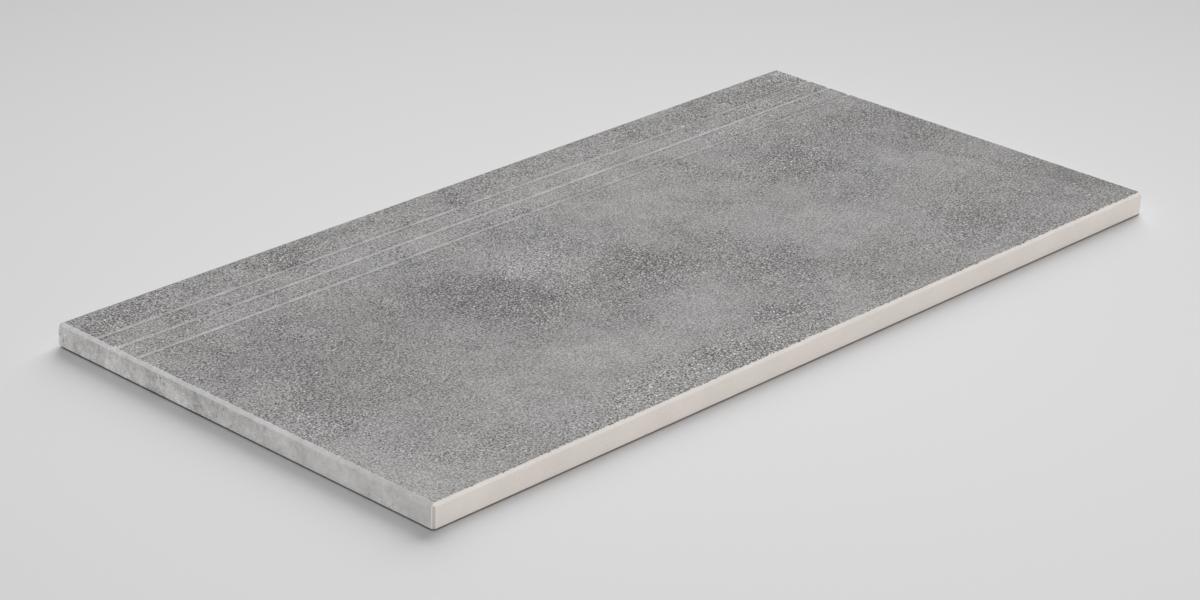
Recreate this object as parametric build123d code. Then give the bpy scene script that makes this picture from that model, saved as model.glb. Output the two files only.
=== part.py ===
from build123d import *
import math
import os

# Stair tread tile: one slab of porcelain stoneware, pressed and fired in a single piece.
# X runs along the nosing, -Y faces the person climbing, +Y meets the riser above, +Z is up.
# The origin is the middle of the underside, on the keying ribs. All sizes are in millimetres.

# Slab
length = 800.0
going = 400.0
thickness = 20.0

# Edges: a rounded nosing, a ground bevel along the other top edges and round the nosing's ends,
# bevelled upright corners at the riser, and a small bevel along the other lower edges
nosing_top_radius = 7.5
nosing_bottom_radius = 6.0
top_bevel = 2.5
bottom_bevel = 0.3
corner_bevel = 2.1

# Anti-slip grooves, which run out through both ends
groove_count = 3
groove_width = 5.5
groove_depth = 1.0
groove_pitch = 23.0
first_groove_from_nosing = 43.0

# Keying lattice under the bed: drafted ribs that stand proud of it, with square pockets between them
key_pitch = 29.0
key_rib = 5.0
key_height = 0.8
key_draft = 30.0
key_margin = 18.0

nosing_edge = -going / 2
riser_edge = going / 2
end_edge = length / 2


def corner(outline, across, up):
    """The corner of a flat outline that lies nearest to a point of its plane."""
    return outline.vertices().sort_by_distance((across, up))[0]


def slab_side(span):
    """A side of the slab: a rectangle from the bed, which lies on the ribs, up to the face."""
    return Pos(0, key_height) * Rectangle(span, thickness - key_height, align=(Align.CENTER, Align.MIN))


def cross_section():
    """The tile cut across its length: nosing rounds, riser edge, and the grooves as circle segments."""
    outline = slab_side(going)
    outline = fillet(corner(outline, nosing_edge, thickness), nosing_top_radius)
    outline = fillet(corner(outline, nosing_edge, key_height), nosing_bottom_radius)
    outline = chamfer(corner(outline, riser_edge, thickness), top_bevel)
    outline = chamfer(corner(outline, riser_edge, key_height), bottom_bevel)

    groove_radius = ((groove_width / 2) ** 2 + groove_depth**2) / (2 * groove_depth)
    groove_axis_height = thickness - groove_depth + groove_radius
    for index in range(groove_count):
        groove_place = nosing_edge + first_groove_from_nosing + index * groove_pitch
        outline -= Pos(groove_place, groove_axis_height) * Circle(groove_radius)
    return outline


def crown():
    """The face and the nosing with their bevelled ends, left square and oversize at the riser and the bed."""
    beyond = thickness
    outline = Rectangle(going + beyond, thickness + beyond, align=Align.MIN)
    outline = Pos(nosing_edge, -beyond) * outline
    outline = fillet(corner(outline, nosing_edge, thickness), nosing_top_radius)
    slab = extrude(Plane.YZ * outline, length / 2, both=True)
    end_outlines = slab.faces().filter_by(Axis.X).edges()
    arrises = [edge for edge in end_outlines if edge.center().Y < riser_edge and edge.center().Z > -beyond / 2]
    return chamfer(arrises, top_bevel)


def long_elevation():
    """The tile seen from the riser side: both ends bevelled below."""
    outline = slab_side(length)
    for side in (-end_edge, end_edge):
        outline = chamfer(corner(outline, side, key_height), bottom_bevel)
    return outline


def plan_outline():
    """The tile seen from above, with its two upright corners at the riser bevelled."""
    outline = Rectangle(length, going)
    return chamfer(outline.vertices().group_by(Axis.Y)[-1], corner_bevel)


def whole_pairs(span):
    """How many pockets fit along a span inside the margins, in pairs, so that a rib crosses its middle."""
    return 2 * math.floor((span / 2 - key_margin + key_rib / 2) / key_pitch)


def keying_ribs():
    """The lattice under the bed: a plate that widens upwards by the draft, less its square pockets, which narrow."""
    columns, rows = whole_pairs(length), whole_pairs(going)
    plate = Rectangle(columns * key_pitch + key_rib, rows * key_pitch + key_rib)
    mouth = key_pitch - key_rib
    pocket = extrude(Rectangle(mouth, mouth), key_height, taper=key_draft)
    return extrude(plate, key_height, taper=-key_draft) - GridLocations(key_pitch, key_pitch, columns, rows) * pocket


# The slab is what the cross section, the crown, the elevation and the plan have in common, and it lies on its ribs
across = extrude(Plane.YZ * cross_section(), length / 2, both=True)
along = extrude(Plane.XZ * long_elevation(), going / 2, both=True)
above = extrude(plan_outline(), thickness)
tread_tile = (across & crown() & along & above) + keying_ribs()
tread_tile.label = "tread_tile"

os.makedirs("parts", exist_ok=True)
export_step(tread_tile, "parts/tread_tile.step")
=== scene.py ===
import math

import bpy
import numpy as np
from mathutils import Matrix, Vector


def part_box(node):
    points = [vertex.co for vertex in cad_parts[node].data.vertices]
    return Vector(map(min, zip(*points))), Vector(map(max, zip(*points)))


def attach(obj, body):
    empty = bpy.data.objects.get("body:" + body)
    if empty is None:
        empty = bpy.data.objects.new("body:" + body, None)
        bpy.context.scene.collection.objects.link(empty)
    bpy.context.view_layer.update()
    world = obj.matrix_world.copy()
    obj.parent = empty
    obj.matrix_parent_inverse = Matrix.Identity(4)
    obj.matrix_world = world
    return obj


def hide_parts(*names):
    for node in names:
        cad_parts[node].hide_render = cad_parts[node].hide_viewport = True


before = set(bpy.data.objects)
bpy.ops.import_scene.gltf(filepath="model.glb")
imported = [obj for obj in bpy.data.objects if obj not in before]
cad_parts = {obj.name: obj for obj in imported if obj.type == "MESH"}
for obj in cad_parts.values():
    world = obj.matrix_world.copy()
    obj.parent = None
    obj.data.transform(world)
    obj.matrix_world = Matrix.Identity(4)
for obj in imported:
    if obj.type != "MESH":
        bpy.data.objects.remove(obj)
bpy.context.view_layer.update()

# The walking face: the glazed top of a slab of porcelain stoneware, pressed from dry powder and fired.
# Its long edge at -Y is rounded into a nosing, with three anti-slip grooves that run out through both
# ends, and its other edges are ground to a bevel. A cloudy cement print covers it.
MM = 0.001
tile_low, tile_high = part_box("tread_tile")
half_length = (tile_high[0] - tile_low[0]) / 2
half_going = (tile_high[1] - tile_low[1]) / 2
thickness = tile_high[2] - tile_low[2]
nosing_top_radius = 7.5 * MM
top_bevel = 2.5 * MM
corner_bevel = 2.1 * MM
groove_places = -half_going + np.array([43.0, 66.0, 89.0]) * MM
groove_width = 5.5 * MM
groove_depth = 1.0 * MM
# How pale the grooves are painted near and far, partly painted light for the light their walls catch
groove_pale_near = np.array([1.0, 1.0, 1.0])
groove_pale_far = np.array([0.8, 1.0, 0.6])
surface_step = 2.9 * MM
arris_softness = 0.22 * MM
corner_zone = 3.2 * MM
relief_height = 0.14 * MM
relief_fade = 8.0 * MM
# Painted shade along the grooves' lips: how far out it lies, how wide it is, and its share on the nosing's
# side
lip_shade_offset = 1.15 * groove_width / 2
lip_shade_width = 1.2 * MM
lip_shade_nosing_share = 0.1

# Layers of noise, each an amount, the size of its cells and its seed
bevel_wander = ((0.16, 9.0 * MM, 3), (0.12, 2.7 * MM, 4))
relief_layers = ((0.65, 7.0 * MM, 11), (0.35, 3.1 * MM, 12))
cloud_fray_x = ((46.0, 41.0 * MM, 21), (22.0, 15.0 * MM, 22))
cloud_fray_y = ((38.0, 41.0 * MM, 23), (18.0, 15.0 * MM, 24))
cloud_mist = ((0.5, 33.0 * MM, 31), (0.5, 14.0 * MM, 32))

# Clouds of the print, in millimetres: middle x and y, reach along x and y, tone, which is dark below zero,
# and how much coarser they make the grain
clouds = np.array([
    (135, -29, 47, 47, -1.0, 0.2),
    (109, 11, 27, 20, -0.8, 0.5),
    (9, 25, 38, 27, -1.0, 0.6),
    (-238, -29, 53, 27, -0.9, 0.5),
    (-78, 95, 27, 37, -0.6, 0.4),
    (2, 151, 27, 20, -0.8, 0.6),
    (322, -29, 67, 53, -0.5, 0.1),
    (322, 51, 50, 35, -0.15, 0.0),
    (-372, -35, 32, 67, -0.75, 0.2),
    (-265, 131, 30, 40, -0.7, 0.4),
    (-320, -177, 50, 18, -0.75, 0.4),
    (359, -177, 45, 18, -0.7, 0.6),
    (209, -172, 33, 20, -0.8, 0.4),
    (75, 60, 30, 30, -0.5, 0.2),
    (225, -40, 35, 35, -0.4, 0.0),
    (-390, 148, 32, 34, -1.0, 0.0),
    (24, -180, 9, 24, -0.8, 0.2),
    (-200, -178, 12, 26, -0.7, 0.2),
    (75, 182, 60, 18, -0.75, 0.4),
    (145, -184, 22, 14, -0.7, 0.0),
    (-140, 178, 30, 24, -0.6, 0.0),
    (155, 121, 125, 47, 0.75, -0.5),
    (69, -42, 40, 33, 0.7, 0.3),
    (-165, 55, 47, 63, 0.6, -0.6),
    (-78, -59, 53, 43, 0.5, -0.4),
    (-321, 31, 30, 47, 0.7, -0.5),
    (29, 85, 50, 30, 0.4, -0.1),
    (0, -132, 520, 26, 0.5, -0.05),
    (120, 185, 300, 32, 0.5, 0.0),
    (385, 170, 45, 60, 0.6, -0.2),
    (395, 20, 28, 160, 0.5, -0.1),
    (-390, -180, 25, 25, 0.5, 0.7),
    (120, 184, 110, 20, -0.1, 0.6),
    (380, 66, 32, 40, 0.0, 0.3),
    (-300, -140, 90, 25, 0.0, 0.3),
])
cloud_tones, cloud_grains = clouds[:, 4], clouds[:, 5]

# How far the tones go, the mist between the clouds, and the coarseness that the grain has everywhere
darkest_cloud, palest_cloud = -1.3, 1.1
tone_mist, grain_mist = 0.9, -0.4
common_grain = 0.36


def smooth_noise(x, y, cell, seed):
    """Random heights from 0 to 1 on a square lattice, blended between its points by 3t^2 - 2t^3."""
    lattice = 256
    heights = np.random.default_rng(seed).random((lattice, lattice))
    column, row = np.floor(x / cell).astype(int), np.floor(y / cell).astype(int)
    across, up = x / cell - column, y / cell - row
    across, up = across * across * (3 - 2 * across), up * up * (3 - 2 * up)
    left, right = column % lattice, (column + 1) % lattice
    low, high = row % lattice, (row + 1) % lattice
    near = heights[left, low] * (1 - across) + heights[right, low] * across
    far = heights[left, high] * (1 - across) + heights[right, high] * across
    return near * (1 - up) + far * up


def layered_noise(x, y, layers):
    """A sum of smooth noises about zero: for each layer its amount times the noise less a half."""
    return sum(amount * (smooth_noise(x, y, cell, seed) - 0.5) for amount, cell, seed in layers)


def soft_lower(a, b, softness=arris_softness):
    """The lower of two heights with a rounded crossing: minus the log of exp(-a) plus exp(-b)."""
    return -softness * np.logaddexp(-a / softness, -b / softness)


def arc_rise(inset, radius):
    """Height of a quarter round above its lower end, d in from its edge: sqrt(r^2 - (r - d)^2)."""
    reach = radius - np.clip(inset, 0, radius)
    return np.sqrt(radius**2 - reach**2)


def groove_drop(y):
    """Depth of the grooves below the face: a circle segment of their width and depth about each middle."""
    groove_radius = ((groove_width / 2) ** 2 + groove_depth**2) / (2 * groove_depth)
    off_middle = np.abs(y[..., None] - groove_places).min(-1)
    chord = np.sqrt(np.clip(groove_radius**2 - off_middle**2, 0, None)) - (groove_radius - groove_depth)
    return np.clip(chord, 0, None)


def end_cut(x, bevel):
    """How far an end's bevel has come in: the bevel less the distance from the end, or nothing."""
    return np.clip(bevel - half_length + np.abs(x), 0, None)


def top_height(x, y):
    """The walking surface: the lowest of riser bevel, end bevels and nosing round, less grooves and relief.
    The end bevels go on round the nosing, where they take as much off its edge and radius as off the top."""
    bevel = top_bevel * (1 + layered_noise(x, y, bevel_wander))
    riser = thickness - bevel + half_going - y
    ends = thickness - bevel + half_length - np.abs(x)
    cut = end_cut(x, top_bevel)
    inset, radius = y + half_going - cut, nosing_top_radius - cut
    nosing = np.where(inset < radius, thickness - nosing_top_radius + arc_rise(inset, radius), thickness)
    drop = groove_drop(y)
    relief = relief_height * (0.5 + layered_noise(x, y, relief_layers))
    relief *= np.clip((half_length - np.abs(x)) / relief_fade, 0, 1)
    relief *= np.clip((half_going - np.abs(y)) / relief_fade, 0, 1)
    relief *= np.clip(1 - 2 * drop / groove_depth, 0, 1)
    flat = np.full_like(x, thickness) - drop - relief
    return np.minimum(nosing, soft_lower(soft_lower(flat, riser), ends))


def groove_tone(x, y):
    """How pale the grooves are painted, partly as painted light for the light their walls catch: full over a
    groove's floor, less in the outer two towards the far end.
    """
    off_middle = np.abs(y[..., None] - groove_places)
    near, far = groove_pale_near[off_middle.argmin(-1)], groove_pale_far[off_middle.argmin(-1)]
    along = np.clip(0.5 - x / half_length, 0, 1)
    return np.clip(2 * groove_drop(y) / groove_depth - 0.6, 0, 1) * (near + (far - near) * along)


def groove_lip_shade(y):
    """Painted shade along the grooves: exp(-d^2) about each lip on the riser's side, a tenth on the nosing's.
    """
    off_middle = y[..., None] - groove_places
    from_lip = (np.abs(off_middle) - lip_shade_offset) / lip_shade_width
    return (np.exp(-(from_lip**2)) * np.where(off_middle > 0, 1.0, lip_shade_nosing_share)).sum(-1)


def cement_clouds(x, y, strengths, mist):
    """Clouds of exp(-r^2) times their strengths, frayed by shaking x and y with noise, plus a fine mist."""
    shaken_x = x / MM + layered_noise(x, y, cloud_fray_x)
    shaken_y = y / MM + layered_noise(x, y, cloud_fray_y)
    amount = mist * layered_noise(x, y, cloud_mist)
    for (middle_x, middle_y, reach_x, reach_y), strength in zip(clouds[:, :4], strengths):
        far = ((shaken_x - middle_x) / reach_x) ** 2 + ((shaken_y - middle_y) / reach_y) ** 2
        amount += strength * np.exp(-far)
    return amount


def stations(breaks, step):
    """Places along a line: every break, and between two breaks even steps of the given length or less."""
    rounding = 1e-6
    cuts = [
        np.linspace(a, b, max(1, math.ceil((b - a) / step - rounding)), endpoint=False)
        for a, b in zip(breaks[:-1], breaks[1:])
    ]
    return np.append(np.concatenate(cuts), breaks[-1])


def grid_quads(numbers):
    """Quads of a grid of point numbers, counter-clockwise in the plane of its two directions."""
    corners = [numbers[:-1, :-1], numbers[1:, :-1], numbers[1:, 1:], numbers[:-1, 1:]]
    return np.stack(corners, -1).reshape(-1, 4)


round_turn = np.linspace(0, math.pi / 2, 11)
nosing_insets = nosing_top_radius * (1 - np.cos(round_turn))
bevel_insets = top_bevel * np.array([0, 0.25, 0.5, 0.75, 1.0, 1.3, 1.7])
groove_shares = np.array([-1.6, -1.15, -1, -0.75, -0.4, 0, 0.4, 0.75, 1, 1.15, 1.6])
groove_cuts = groove_places[:, None] + groove_width / 2 * groove_shares
y_breaks = np.concatenate([
    nosing_insets - half_going,
    groove_cuts.ravel(),
    half_going - bevel_insets[::-1],
])
x_breaks = np.concatenate([bevel_insets - half_length, half_length - bevel_insets[::-1]])
top_x = stations(x_breaks, surface_step)
top_y = stations(y_breaks, surface_step)
grid_x, grid_y = np.meshgrid(top_x, top_y, indexing="ij")
grid_y += end_cut(grid_x, top_bevel) * np.clip(1 - (half_going + grid_y) / nosing_top_radius, 0, 1)
grid_y -= end_cut(grid_x, corner_bevel) * np.clip(1 - (half_going - grid_y) / corner_zone, 0, 1)
top_points = np.stack([grid_x, grid_y, top_height(grid_x, grid_y)], -1).reshape(-1, 3)
top_numbers = np.arange(len(top_points)).reshape(grid_x.shape)
top_quads = grid_quads(top_numbers)


def add_node(tree, kind, inputs=None, **options):
    """Adds a shader node with its options, and fills its sockets with values or with other nodes' outputs."""
    node = tree.nodes.new(kind)
    for name, value in options.items():
        setattr(node, name, value)
    for socket, value in (inputs or {}).items():
        if isinstance(value, bpy.types.NodeSocket):
            tree.links.new(value, node.inputs[socket])
        else:
            node.inputs[socket].default_value = value
    return node


def reckon(tree, operation, *terms):
    """One step of arithmetic on numbers and outputs of a material's tree."""
    return add_node(tree, "ShaderNodeMath", dict(enumerate(terms)), operation=operation).outputs[0]


def total(tree, *terms):
    """The sum of several numbers and outputs."""
    result = terms[0]
    for term in terms[1:]:
        result = reckon(tree, "ADD", result, term)
    return result


def times(tree, *factors):
    """The product of several numbers and outputs."""
    result = factors[0]
    for factor in factors[1:]:
        result = reckon(tree, "MULTIPLY", result, factor)
    return result


def rising(tree, start, slope, value):
    """A straight line: the start plus the slope times a value."""
    return total(tree, start, times(tree, value, slope))


def noise(tree, place, scale, detail=2.0, roughness=0.55, stretch=(1, 1, 1)):
    """Cloud noise of about 0 to 1, this many cells to the metre, drawn out along the axes by the stretch."""
    spread = [1 / length for length in stretch]
    stretched = add_node(tree, "ShaderNodeMapping", {"Vector": place, "Scale": spread}).outputs[0]
    settings = {"Vector": stretched, "Scale": scale, "Detail": detail, "Roughness": roughness}
    return add_node(tree, "ShaderNodeTexNoise", settings).outputs[0]


def swing(tree, value, amount, middle=0.5):
    """A value as a swing about its middle, times an amount."""
    return times(tree, reckon(tree, "SUBTRACT", value, middle), amount)


def ramp(tree, value, low, high, bottom=0.0, top=1.0):
    """A smooth step of a value between two limits, from bottom to top."""
    settings = {"Value": value, "From Min": low, "From Max": high, "To Min": bottom, "To Max": top}
    return add_node(tree, "ShaderNodeMapRange", settings, interpolation_type="SMOOTHSTEP").outputs[0]


def blend(tree, share, first, second):
    """A mixture of two colours by a share from 0 to 1."""
    return add_node(tree, "ShaderNodeMix", {0: share, 6: first, 7: second}, data_type="RGBA").outputs[2]


def toned(tree, colour, tone):
    """A colour made lighter or darker by a tone about 1."""
    return add_node(tree, "ShaderNodeVectorMath", {0: colour, "Scale": tone}, operation="SCALE").outputs[0]


def flecks(tree, place, scale, chosen, size):
    """Scattered grains: a spot round the point of a Voronoi cell, in the chosen share of the cells."""
    cells = add_node(tree, "ShaderNodeTexVoronoi", {"Vector": place, "Scale": scale})
    spot = ramp(tree, cells.outputs["Distance"], size, 0.5 * size)
    pick = add_node(tree, "ShaderNodeSeparateColor", {0: cells.outputs["Color"]}).outputs[1]
    return times(tree, spot, reckon(tree, "GREATER_THAN", pick, 1 - chosen))


def painted(tree, name):
    """A value that the mesh keeps at its points."""
    return add_node(tree, "ShaderNodeAttribute", attribute_name=name).outputs["Fac"]


def new_finish(name):
    """Starts a material, and gives it with its tree, the place on the tile and that place's x, y and z."""
    material = bpy.data.materials.new(name)
    material.use_nodes = True
    tree = material.node_tree
    place = add_node(tree, "ShaderNodeTexCoord").outputs["Object"]
    return material, tree, place, add_node(tree, "ShaderNodeSeparateXYZ", {0: place}).outputs


def insets(tree, axes):
    """How far a place lies in from the nearer end, and how far from the riser edge."""
    from_end = reckon(tree, "SUBTRACT", half_length, reckon(tree, "ABSOLUTE", axes["X"]))
    return from_end, reckon(tree, "SUBTRACT", half_going, axes["Y"])


def set_surface(tree, colour, roughness, height, bump_strength, bump_depth, gloss):
    """Sets a finish's shader: colour, roughness and a height for the bump from outputs, and an even gloss."""
    bump_settings = {"Height": height, "Strength": bump_strength, "Distance": bump_depth}
    bump = add_node(tree, "ShaderNodeBump", bump_settings).outputs[0]
    surface = tree.nodes["Principled BSDF"]
    tree.links.new(colour, surface.inputs["Base Color"])
    tree.links.new(roughness, surface.inputs["Roughness"])
    tree.links.new(bump, surface.inputs["Normal"])
    surface.inputs["Specular IOR Level"].default_value = gloss


glaze_grey = (0.275, 0.270, 0.262)
glaze_lilac = (0.275, 0.268, 0.269)
groove_grey = (0.435, 0.427, 0.428)
bevel_grey = (0.66, 0.649, 0.652)
body_cream = (0.745, 0.692, 0.642)


def cement_glaze():
    """Matt cement print: clouds and a fine grain, coarser in patches, with more pits, flecks and chips there,
    flakes and scuffs mostly along the nosing, grooves painted paler, partly as painted light, with painted
    shade along their lips, and chips along the ground edges. The grain, the pits and the flecks are bump as
    well."""
    material, tree, place, axes = new_finish("cement_glaze")
    cloud, coarseness = painted(tree, "cloud"), painted(tree, "coarseness")
    groove, lip = painted(tree, "groove"), painted(tree, "lip")
    cells = add_node(tree, "ShaderNodeTexVoronoi", {"Vector": place, "Scale": 1100.0}).outputs["Color"]
    cells = add_node(tree, "ShaderNodeSeparateColor", {0: cells}).outputs[0]
    fine = noise(tree, place, 600.0, detail=1.0, roughness=0.7)
    patch = noise(tree, place, 24.0, detail=3.0, roughness=0.6)
    mottle = noise(tree, place, 75.0, detail=3.0, roughness=0.6)
    waves = noise(tree, place, 200.0, detail=2.0, roughness=0.5, stretch=(1.5, 1, 1))
    marks = noise(tree, place, 120.0, detail=4.0, roughness=0.68, stretch=(1.5, 1, 1))
    pale = flecks(tree, place, 430.0, chosen=0.09, size=0.38)
    chips = flecks(tree, place, 300.0, chosen=0.05, size=0.38)
    pits = flecks(tree, place, 470.0, chosen=0.14, size=0.42)

    # The grain and its specks are stronger in coarse patches and weaker in the grooves
    coarse = ramp(tree, total(tree, coarseness, swing(tree, patch, 0.9)), 0.0, 1.0)
    off_groove = reckon(tree, "SUBTRACT", 1.0, times(tree, groove, 0.7))
    force = times(tree, rising(tree, 0.58, 0.78, coarse), off_groove)
    grain = times(tree, total(tree, swing(tree, cells, 1.28), swing(tree, fine, 3.55)), force)
    pits = times(tree, pits, rising(tree, 0.3, 1.2, coarse))
    pale = times(tree, pale, rising(tree, 0.45, 1.8, coarse))
    chips = times(tree, coarse, 1.6, chips)
    specks = total(tree, pale, chips, times(tree, pits, -1.0))

    # Flakes lie along two contours of the waves, and scuffs where the marks are lowest and highest
    nosing_strip = ramp(tree, axes["Y"], -half_going + 44 * MM, -half_going + 34 * MM)
    flaky = total(tree, times(tree, nosing_strip, 0.2), times(tree, coarse, 0.07))
    light_lines = ramp(tree, reckon(tree, "ABSOLUTE", swing(tree, waves, 1.0)), 0.05, 0.012)
    dark_lines = ramp(tree, reckon(tree, "ABSOLUTE", swing(tree, waves, 1.0, middle=0.39)), 0.06, 0.015)
    flakes = times(tree, reckon(tree, "SUBTRACT", light_lines, dark_lines), flaky)
    scuffs = reckon(tree, "SUBTRACT", ramp(tree, marks, 0.34, 0.28), ramp(tree, marks, 0.64, 0.70))
    scuffs = times(tree, scuffs, rising(tree, 0.1, 2.2, flaky))

    nosing_shade = ramp(tree, axes["Y"], -half_going + 5 * MM, -half_going + 1 * MM, bottom=0.0, top=-0.2)
    tone = total(
        tree,
        1.0,
        times(tree, cloud, 0.33),
        swing(tree, mottle, 0.52),
        grain,
        times(tree, total(tree, specks, flakes, scuffs), off_groove),
        # painted shade along the grooves' lips
        times(tree, lip, -0.27),
        nosing_shade,
    )
    cast = ramp(tree, noise(tree, place, 9.0, detail=2.0), 0.35, 0.65)
    ground = blend(tree, cast, (*glaze_grey, 1), (*glaze_lilac, 1))
    # The grooves are painted paler in streaks, partly as painted light
    groove_light_share = ramp(tree, noise(tree, place, 60.0, detail=2.0, stretch=(3, 1, 1)), 0.3, 0.6, bottom=0.6)
    ground = blend(tree, times(tree, groove, groove_light_share), ground, (*groove_grey, 1))
    colour = toned(tree, ground, reckon(tree, "MAXIMUM", tone, 0.25))

    # Ragged chips where the glaze meets the ground bevels
    ragged = noise(tree, place, 300.0, detail=3.0, roughness=0.6)
    from_end, from_riser = insets(tree, axes)
    end_chips = ramp(tree, total(tree, from_end, swing(tree, ragged, -5.0 * MM)), 3.1 * MM, 2.4 * MM)
    colour = blend(tree, end_chips, colour, (*bevel_grey, 1))
    riser_chips = ramp(tree, total(tree, from_riser, swing(tree, ragged, -2.4 * MM)), 2.45 * MM, 2.15 * MM)
    colour = blend(tree, riser_chips, colour, (*body_cream, 1))

    roughness = total(tree, 0.82, swing(tree, mottle, 0.16), swing(tree, fine, 0.12))
    height = total(tree, grain, times(tree, pits, -0.8), times(tree, pale, 0.4))
    set_surface(tree, colour, roughness, height, bump_strength=0.4, bump_depth=0.3 * MM, gloss=0.18)
    return material


# The edges: the four sides of the slab, which go down and round under it. The nosing side is glazed with
# the face, the two ends carry a plain grey glaze, and the riser side is the ground, unglazed body.
nosing_bottom_radius = 6.0 * MM
bottom_bevel = 0.3 * MM
key_height = 0.8 * MM


def bed_height(x, y):
    """The bed outside the ribs: their height, plus the nosing's quarter round or the other edges' bevel."""
    nosing = nosing_bottom_radius - arc_rise(y + half_going, nosing_bottom_radius)
    riser = np.clip(bottom_bevel - half_going + y, 0, None)
    return key_height + np.maximum(np.maximum(nosing, riser), end_cut(x, bottom_bevel))


def rim(numbers):
    """The border of a grid of point numbers, once round, counter-clockwise, from its first corner."""
    return np.concatenate([numbers[:-1, 0], numbers[-1, :-1], numbers[:0:-1, -1], numbers[0, :0:-1]])


def rim_places(first, second):
    """How far round the border each point lies, from 0 to 4, by its share of each side in turn."""
    along = (first - first[0]) / (first[-1] - first[0])
    up = (second - second[0]) / (second[-1] - second[0])
    return np.concatenate([along[:-1], 1 + up[:-1], 3 - along[:0:-1], 4 - up[:0:-1]])


def quads_between(upper_row, lower_row):
    """Quads that join two closed rings of point numbers, one point of each per column."""
    return np.stack([lower_row, np.roll(lower_row, -1), np.roll(upper_row, -1), upper_row], -1)


edge_ring = rim(top_numbers)
edge_points = top_points[edge_ring]
wall_shares = np.array([0.15, 0.35, 0.6, 0.85, 1.0])
wall_foot = bed_height(edge_points[:, 0], edge_points[:, 1])
wall_heights = edge_points[:, 2] + wall_shares[:, None] * (wall_foot - edge_points[:, 2])
wall_points = np.stack(np.broadcast_arrays(edge_points[:, 0], edge_points[:, 1], wall_heights), -1)
under_insets = np.append(bottom_bevel, nosing_bottom_radius * (1 - np.cos(round_turn[3:])))
under_x = edge_points[:, 0] * (1 - under_insets[:, None] / half_length)
under_y = edge_points[:, 1] * (1 - under_insets[:, None] / half_going)
under_points = np.stack([under_x, under_y, bed_height(under_x, under_y)], -1)
ring_points = np.concatenate([wall_points, under_points])
rings = len(top_points) + np.arange(ring_points[..., 0].size).reshape(ring_points.shape[:2])
rings = np.concatenate([edge_ring[None], rings])
edge_quads = np.concatenate([quads_between(upper, lower) for upper, lower in zip(rings[:-1], rings[1:])])


end_grey = (0.545, 0.537, 0.527)
whiter_bevel_cream = (0.76, 0.72, 0.685)
kiln_wash = (0.75, 0.74, 0.715)


def end_glaze():
    """Plain grey glaze of the ends: pale, with soft blotches, small spots and dark specks, stronger near the
    nosing, where it is darker and streaked towards the bevel, a paler strip where the bevel is ground, and a
    dark line of painted shade at its foot, where it meets the floor."""
    material, tree, place, axes = new_finish("end_glaze")
    spots = noise(tree, place, 200.0, detail=4.0, roughness=0.62)
    blotch = noise(tree, place, 40.0, detail=2.0, roughness=0.55)
    fine = noise(tree, place, 800.0, detail=2.0, roughness=0.6)
    specks = flecks(tree, place, 260.0, chosen=0.12, size=0.34)
    drips = noise(tree, place, 170.0, detail=2.0, roughness=0.6, stretch=(1, 1, 3))
    streaks = ramp(tree, drips, 0.56, 0.72)

    cloudy = ramp(tree, axes["Y"], 120 * MM, -60 * MM, bottom=0.55, top=1.15)
    strip = ramp(tree, axes["Z"], thickness - 1.05 * top_bevel, thickness - 0.95 * top_bevel)
    strip = times(tree, strip, ramp(tree, axes["Y"], 200 * MM, 20 * MM, bottom=0.35))
    off_strip = reckon(tree, "SUBTRACT", 1.0, times(tree, strip, 0.6))
    uneven = times(tree, cloudy, off_strip)
    # Painted shade: a dark line along the foot of the end, where it meets the floor
    foot = ramp(tree, axes["Z"], 1.8 * MM, 1.1 * MM)
    upper = ramp(tree, axes["Z"], 6 * MM, 17 * MM)
    upper = times(tree, upper, reckon(tree, "SUBTRACT", uneven, 0.45))
    tone = total(
        tree,
        1.0,
        times(tree, swing(tree, spots, 0.9), uneven),
        times(tree, swing(tree, blotch, 0.9), uneven),
        times(tree, swing(tree, fine, 0.7), uneven),
        times(tree, uneven, -0.35, specks),
        times(tree, cloudy, -0.45, foot),
        times(tree, upper, rising(tree, -0.22, -0.4, streaks)),
    )
    ground = blend(tree, strip, (*end_grey, 1), (*bevel_grey, 1))
    colour = toned(tree, ground, tone)
    roughness = total(tree, 0.65, swing(tree, spots, 0.2))
    height = total(tree, fine, times(tree, spots, 0.6))
    set_surface(tree, colour, roughness, height, bump_strength=0.25, bump_depth=0.2 * MM, gloss=0.25)
    return material


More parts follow.
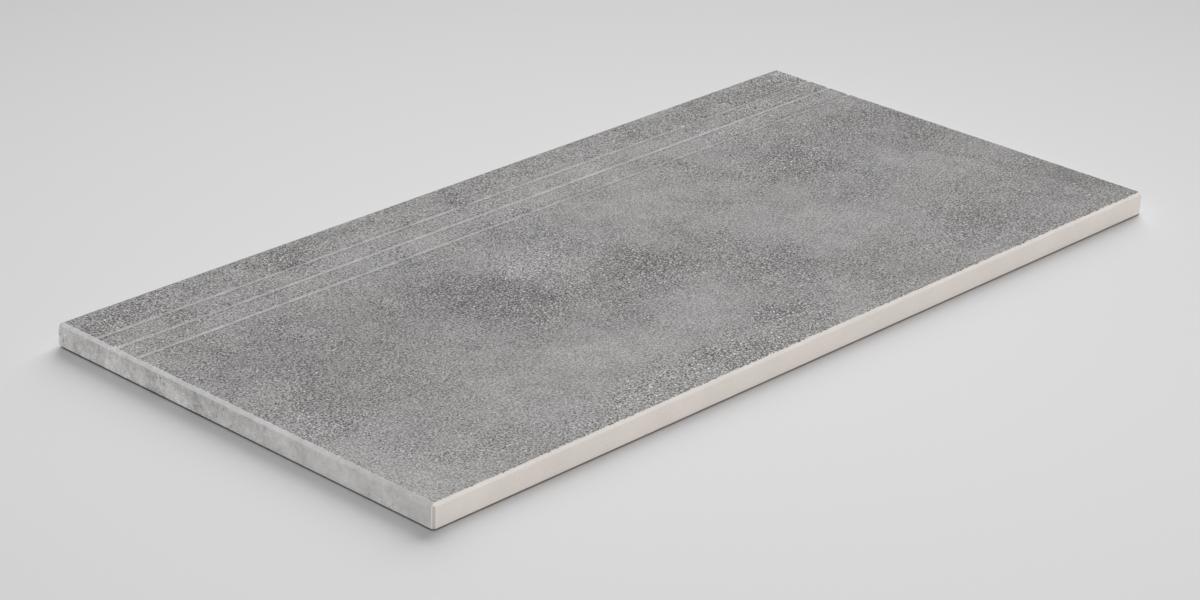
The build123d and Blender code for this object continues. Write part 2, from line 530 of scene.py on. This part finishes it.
def raw_body():
    """Unglazed porcelain body: cream, with fine sandy grain, faint marks of the grinding wheel along the edge
    and a few iron specks. The top bevel is a whiter cream with a painted highlight, the upright corner bevels
    are darker, the foot is darkened by painted shade where it meets the floor, and a thin chalky kiln wash
    lies on the bed face."""
    material, tree, place, axes = new_finish("raw_body")
    blotch = noise(tree, place, 26.0, detail=2.0)
    sand = noise(tree, place, 700.0, detail=2.0, roughness=0.65)
    wheel = noise(tree, place, 900.0, detail=1.0, roughness=0.5, stretch=(30, 30, 1))
    iron = flecks(tree, place, 190.0, chosen=0.06, size=0.14)

    from_end, from_riser = insets(tree, axes)
    upright = ramp(tree, total(tree, from_end, from_riser), corner_bevel + 0.2 * MM, corner_bevel + 0.05 * MM)
    upright = times(tree, upright, ramp(tree, from_end, 0.1 * MM, 0.8 * MM, bottom=0.3))
    # The top bevel strip: a whiter cream, and a painted highlight where it faces up
    ground_strip = ramp(tree, axes["Z"], thickness - 1.1 * top_bevel, thickness - 0.9 * top_bevel)
    tone = total(
        tree,
        1.0,
        swing(tree, blotch, 0.14),
        swing(tree, sand, 0.2),
        swing(tree, wheel, 0.1),
        times(tree, iron, -0.12),
        times(tree, upright, -0.42),
        # painted highlight on the top bevel
        times(tree, ground_strip, 0.08),
        # painted shade along the foot, where it meets the floor
        ramp(tree, axes["Z"], 1.7 * MM, 1.1 * MM, bottom=0.0, top=-0.2),
    )
    on_bed = ramp(tree, axes["Z"], 1.1 * MM, 0.9 * MM)
    wash = times(tree, on_bed, ramp(tree, blotch, 0.3, 0.65, bottom=0.25, top=0.9))
    ground = blend(tree, ground_strip, (*body_cream, 1), (*whiter_bevel_cream, 1))
    ground = blend(tree, wash, ground, (*kiln_wash, 1))
    colour = toned(tree, ground, tone)
    roughness = total(tree, 0.8, swing(tree, sand, 0.15))
    height = total(tree, sand, times(tree, wheel, 0.7))
    set_surface(tree, colour, roughness, height, bump_strength=0.3, bump_depth=0.2 * MM, gloss=0.25)
    return material


# The bed face: the unglazed underside, where the die leaves a lattice of low drafted ribs that the
# adhesive keys into. The ribs carry the tile, and a flat margin joins them to the edges.
key_pitch = 29.0 * MM
key_rib = 5.0 * MM
key_draft = 30.0
key_draft_run = key_height * math.tan(math.radians(key_draft))
key_columns = 26
key_rows = 12
mouth = key_pitch - key_rib
pocket_cuts = np.array([-mouth / 2, -mouth / 2 + key_draft_run, mouth / 2 - key_draft_run, mouth / 2])


def lattice_line(count):
    """Places across a row of pockets, and for each whether it is in a pocket and whether past the ribs."""
    middles = (np.arange(count) - (count - 1) / 2) * key_pitch
    outer = (count * key_pitch + key_rib) / 2
    slope = np.array([outer, outer + key_draft_run])
    places = np.concatenate([-slope[::-1], (middles[:, None] + pocket_cuts).ravel(), slope])
    in_pocket = np.concatenate([[0, 0], np.tile([0.0, 1.0, 1.0, 0.0], count), [0, 0]])
    past_ribs = np.zeros(len(places))
    past_ribs[[0, -1]] = 1
    return places, in_pocket, past_ribs


def zip_rings(outer, outer_places, inner, inner_places):
    """Triangles that fill the flat band between two rings, each edge joined to a point of the other ring."""
    outer_middle = (outer_places + np.append(outer_places[1:], 4)) / 2
    inner_middle = (inner_places + np.append(inner_places[1:], 4)) / 2
    inner_met = inner[np.searchsorted(inner_middle, outer_middle) % len(inner)]
    outer_met = outer[np.searchsorted(outer_middle, inner_middle, side="right") % len(outer)]
    return np.concatenate([
        np.stack([np.roll(outer, -1), outer, inner_met], -1),
        np.stack([inner, np.roll(inner, -1), outer_met], -1),
    ])


lattice_x, pocket_x, past_x = lattice_line(key_columns)
lattice_y, pocket_y, past_y = lattice_line(key_rows)
raised = np.maximum(np.minimum.outer(pocket_x, pocket_y), np.maximum.outer(past_x, past_y))
lattice_height = key_height * raised
lattice_grid = np.broadcast_arrays(lattice_x[:, None], lattice_y[None, :], lattice_height)
lattice_points = np.stack(lattice_grid, -1).reshape(-1, 3)
lattice_numbers = rings.max() + 1 + np.arange(len(lattice_points)).reshape(lattice_height.shape)
lattice_quads = grid_quads(lattice_numbers)[:, ::-1]
outer_places = rim_places(top_x, top_y)
inner_places = rim_places(lattice_x, lattice_y)
margin_triangles = zip_rings(rings[-1], outer_places, rim(lattice_numbers), inner_places)

# The tile in one piece: the walking face, the edges and the bed face share their points along each seam.
# Each face takes the finish of its side, and the points keep the print's clouds, its coarseness, the grooves'
# pale tone, which is partly painted light, and the painted shade along their lips.
glazed, end_glazed, bare = range(3)
sharp_angle = 32.0
tile_points = np.concatenate([top_points, ring_points.reshape(-1, 3), lattice_points])
tile_quads = np.concatenate([top_quads, edge_quads, lattice_quads])
tile_mesh = bpy.data.meshes.new("stair_tread")
tile_mesh.from_pydata(tile_points.tolist(), [], tile_quads.tolist() + margin_triangles.tolist())
tile_mesh.polygons.foreach_set("use_smooth", np.ones(len(tile_mesh.polygons), bool))
tile_mesh.set_sharp_from_angle(angle=math.radians(sharp_angle))

face_middles = top_points[top_quads].mean(1)
from_end = half_length - np.abs(face_middles[:, 0])
from_riser = half_going - face_middles[:, 1]
top_finish = np.where(from_end < top_bevel, end_glazed, glazed)
top_finish = np.where(from_riser < 0.75 * top_bevel, bare, top_finish)
edge_side = outer_places.astype(int)
side_finish = np.array([glazed, end_glazed, bare, end_glazed])[edge_side]
wall_finish = np.tile(side_finish, len(wall_shares))
under_finish = np.tile(side_finish, len(under_insets))
hidden_finish = np.full(len(lattice_quads) + len(margin_triangles), bare)
finishes = np.concatenate([top_finish, wall_finish, under_finish, hidden_finish]).astype(np.int32)
for finish in (cement_glaze(), end_glaze(), raw_body()):
    tile_mesh.materials.append(finish)
tile_mesh.polygons.foreach_set("material_index", finishes)

tile_x, tile_y = tile_points[:, 0], tile_points[:, 1]
for name, values in (
    ("cloud", np.clip(cement_clouds(tile_x, tile_y, cloud_tones, tone_mist), darkest_cloud, palest_cloud)),
    ("coarseness", common_grain + cement_clouds(tile_x, tile_y, cloud_grains, grain_mist)),
    ("groove", groove_tone(tile_x, tile_y)),
    ("lip", groove_lip_shade(tile_y)),
):
    attribute = tile_mesh.attributes.new(name, "FLOAT", "POINT")
    attribute.data.foreach_set("value", values.astype(np.float32))


def laid_flat(faces, foot, height):
    """Places on the colour map of faces seen from above: x over its width, y by the height from the foot."""
    corners = tile_points[faces].reshape(-1, 3)
    across = 0.5 + 0.49 * corners[:, 0] / half_length
    up = foot + height * (0.5 + corners[:, 1] / half_going / 2)
    return np.stack([across, up], -1)


# On the map, the walking face lies above a strip of the bed, and both above the strips of the four sides.
# Each has the place of its foot and its height, and the two ends' strips lie side by side.
face_foot, face_height = 0.21, 0.78
bed_foot, bed_strip_height = 0.16, 0.04
side_height = 0.04
column_ends = np.stack([outer_places, np.append(outer_places[1:], 4)], -1) - edge_side[:, None]
strip_left = np.array([0.01, 0.01, 0.01, 0.51])[edge_side]
strip_width = np.array([0.98, 0.48, 0.98, 0.48])[edge_side]
strip_foot = np.array([0.01, 0.06, 0.11, 0.06])[edge_side]
ring_heights = np.linspace(side_height, 0, len(rings))
map_across = strip_left[:, None] + strip_width[:, None] * column_ends[:, [0, 1, 1, 0]]
map_up = np.stack([ring_heights[1:], ring_heights[1:], ring_heights[:-1], ring_heights[:-1]], -1)
map_up = strip_foot[None, :, None] + map_up[:, None, :]
edge_map = np.stack(np.broadcast_arrays(map_across[None], map_up), -1).reshape(-1, 2)
colour_map = tile_mesh.uv_layers.new(name="OFBake")
map_places = np.concatenate([
    laid_flat(top_quads, face_foot, face_height),
    edge_map,
    laid_flat(lattice_quads, bed_foot, bed_strip_height),
    laid_flat(margin_triangles, bed_foot, bed_strip_height),
])
colour_map.data.foreach_set("uv", map_places.ravel().astype(np.float32))

tile = bpy.data.objects.new("stair_tread", tile_mesh)
bpy.context.scene.collection.objects.link(tile)
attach(tile, "root")
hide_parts("tread_tile")

# The floor: a pale studio floor, which carries the tile's soft shadow. A pool of light is painted on it: its
# colour gets darker by the square of the distance from a point close to the tile's middle, plus a head start.
floor_reach = 12.0
floor_grey = (0.836, 0.836, 0.844)
painted_light_middle = (-0.03, 0.11, 0.0)
painted_light_falloff = 0.17
painted_light_head_start = 0.11
painted_light_darkest = 0.6
floor_mesh = bpy.data.meshes.new("studio_floor")
floor_corners = floor_reach * np.array([[-1, -1, 0], [1, -1, 0], [1, 1, 0], [-1, 1, 0]])
floor_mesh.from_pydata(floor_corners.tolist(), [], [[0, 1, 2, 3]])
floor = bpy.data.objects.new("studio_floor", floor_mesh)
bpy.context.scene.collection.objects.link(floor)
floor_paint = bpy.data.materials.new("pale_grey_floor")
floor_paint.use_nodes = True
floor_tree = floor_paint.node_tree
floor_place = add_node(floor_tree, "ShaderNodeTexCoord").outputs["Object"]
floor_span = {0: floor_place, 1: painted_light_middle}
# Painted light: the floor's colour falls off with the distance from the tile
away = add_node(floor_tree, "ShaderNodeVectorMath", floor_span, operation="DISTANCE").outputs[1]
away = reckon(floor_tree, "POWER", reckon(floor_tree, "ADD", away, painted_light_head_start), 2.0)
painted_light_tone = rising(floor_tree, 1.0, -painted_light_falloff, away)
floor_colour = toned(floor_tree, floor_grey, reckon(floor_tree, "MAXIMUM", painted_light_tone, painted_light_darkest))
floor_surface = floor_tree.nodes["Principled BSDF"]
floor_tree.links.new(floor_colour, floor_surface.inputs["Base Color"])
floor_surface.inputs["Roughness"].default_value = 0.9
floor_surface.inputs["Specular IOR Level"].default_value = 0.0
floor_mesh.materials.append(floor_paint)

# Studio light: a broad overhead lamp, a broad low key from beyond the nosing's far end, and a low fill from
# the camera's side that lights the tile alone. The lamps are far away, so that they light the whole floor
# alike. The pale sky shows behind the floor and in reflections.
scene = bpy.context.scene
scene.view_settings.view_transform = "Standard"
sky = bpy.data.worlds.new("studio_sky")
sky.use_nodes = True
sky_tree = sky.node_tree
sky_light = 0.03
sky_seen = 0.6
sky_ray = add_node(sky_tree, "ShaderNodeLightPath").outputs
seen = reckon(sky_tree, "MAXIMUM", sky_ray["Is Camera Ray"], sky_ray["Is Glossy Ray"])
seen = reckon(sky_tree, "MAXIMUM", seen, sky_ray["Is Transmission Ray"])
sky_strength = ramp(sky_tree, seen, 0.0, 1.0, sky_light, sky_seen)
sky_tree.links.new(sky_strength, sky_tree.nodes["Background"].inputs["Strength"])
sky_tree.nodes["Background"].inputs["Color"].default_value = (1, 1, 1, 1)
scene.world = sky


def away_towards(azimuth, elevation):
    """A direction of length 1: from -Y round towards +X by the azimuth, and up by the elevation."""
    turn, rise = math.radians(azimuth), math.radians(elevation)
    return Vector((math.sin(turn) * math.cos(rise), -math.cos(turn) * math.cos(rise), math.sin(rise)))


def far_lamp(name, azimuth, elevation, width, share):
    """A soft lamp far away, as wide as an angle, which lays a share of the light on a level face."""
    lamp = bpy.data.lights.new(name, "SUN")
    lamp.angle = math.radians(width)
    lamp.energy = share * math.pi / math.sin(math.radians(elevation))
    box = bpy.data.objects.new(name, lamp)
    box.rotation_euler = away_towards(azimuth, elevation).to_track_quat("Z", "Y").to_euler()
    scene.collection.objects.link(box)
    return box


far_lamp("overhead", azimuth=0, elevation=90, width=70, share=0.33)
far_lamp("nosing_key", azimuth=301, elevation=31, width=50, share=0.50)
front_fill = far_lamp("front_fill", azimuth=135, elevation=5, width=8, share=0.0555)
filled = bpy.data.collections.new("front_fill_lights")
filled.objects.link(tile)
front_fill.light_linking.receiver_collection = filled

# The camera: a long lens two and a half metres away and about a metre up, which looks down on the tile over
# its corner between the riser side and an end. It leans a little to one side.
camera_lens = bpy.data.cameras.new("camera")
camera_lens.sensor_fit = "HORIZONTAL"
camera_lens.sensor_width = 36.0
camera_lens.lens = 98.31
camera = bpy.data.objects.new("camera", camera_lens)
azimuth, elevation = 133.17, 23.995
roll = math.radians(1.494)
distance = 2.5042
look_at = np.array([0.04937, 0.01597, 0.0])
back = np.array(away_towards(azimuth, elevation))
level = np.cross([0, 0, 1], back)
level /= np.linalg.norm(level)
upright = np.cross(back, level)
right = math.cos(roll) * level + math.sin(roll) * upright
up = -math.sin(roll) * level + math.cos(roll) * upright
placed = np.eye(4)
placed[:3] = np.stack([right, up, back, look_at + back * distance], -1)
camera.matrix_world = Matrix(placed.tolist())
scene.collection.objects.link(camera)
scene.camera = camera
